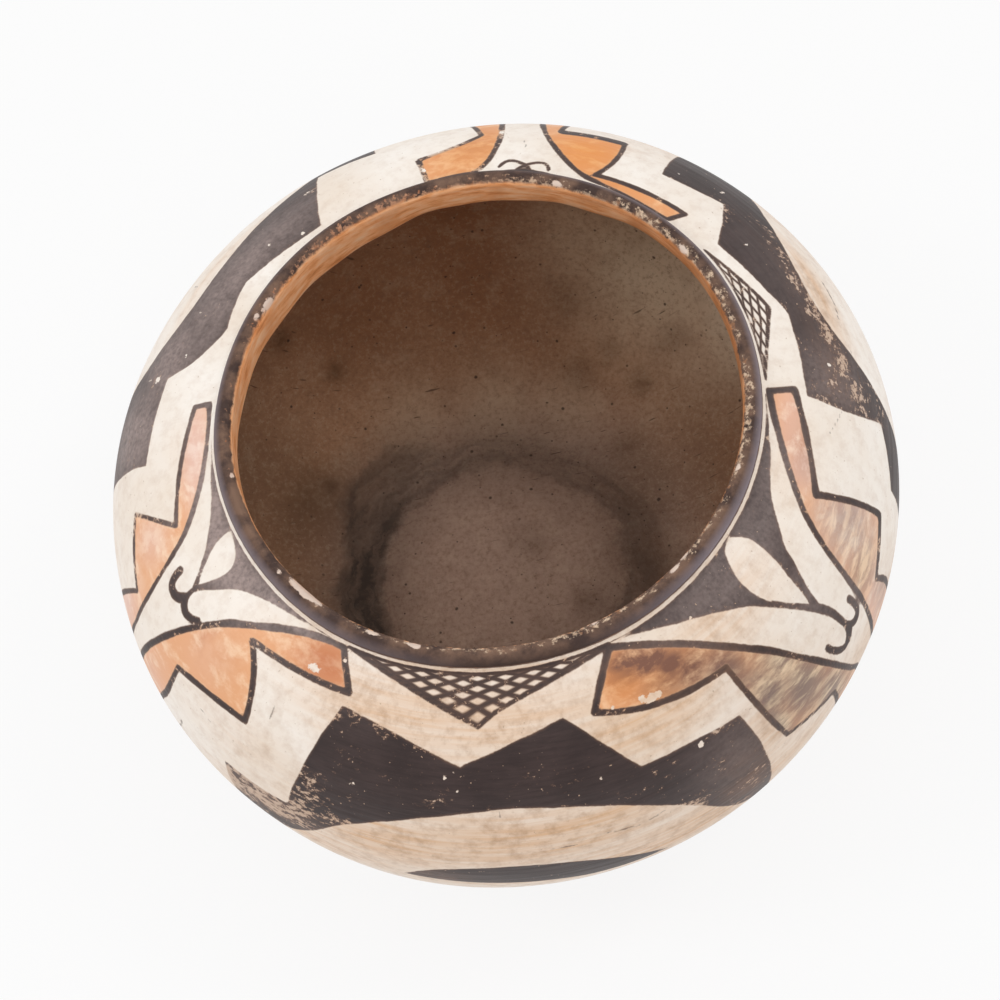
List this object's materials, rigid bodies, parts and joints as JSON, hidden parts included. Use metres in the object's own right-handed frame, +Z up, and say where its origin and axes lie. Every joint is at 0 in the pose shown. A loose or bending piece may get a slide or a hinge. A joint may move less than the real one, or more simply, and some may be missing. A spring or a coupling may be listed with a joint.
{
  "type": "painted bowl",
  "caption": "Squat round coil-built clay bowl with an upright lip, hollowed base and coats of white and orange slip under a black and orange painted band.",
  "frame": {"origin": "centre of the resting foot ring, on the ground", "axes": "+Z up along the bowl's axis; -Y is the side that the picture shows nearest"},
  "size_m": [0.248, 0.248, 0.138],
  "materials": {
    "clay": "matte",
    "white_slip": "satin",
    "orange_slip": "matte",
    "under_slip": "matte"
  },
  "bodies": {
    "root": {"base_pat": "clay", "wall_coil_01": "clay", "wall_coil_02": "clay", "wall_coil_03": "clay", "wall_coil_04": "clay", "wall_coil_05": "clay", "wall_coil_06": "clay", "wall_coil_07": "clay", "wall_coil_08": "clay", "wall_coil_09": "clay", "wall_coil_10": "clay", "rim_coil": "clay", "white_slip": "white_slip", "underbody_slip": "under_slip", "inner_lip_slip": "orange_slip"}
  },
  "joints": []
}
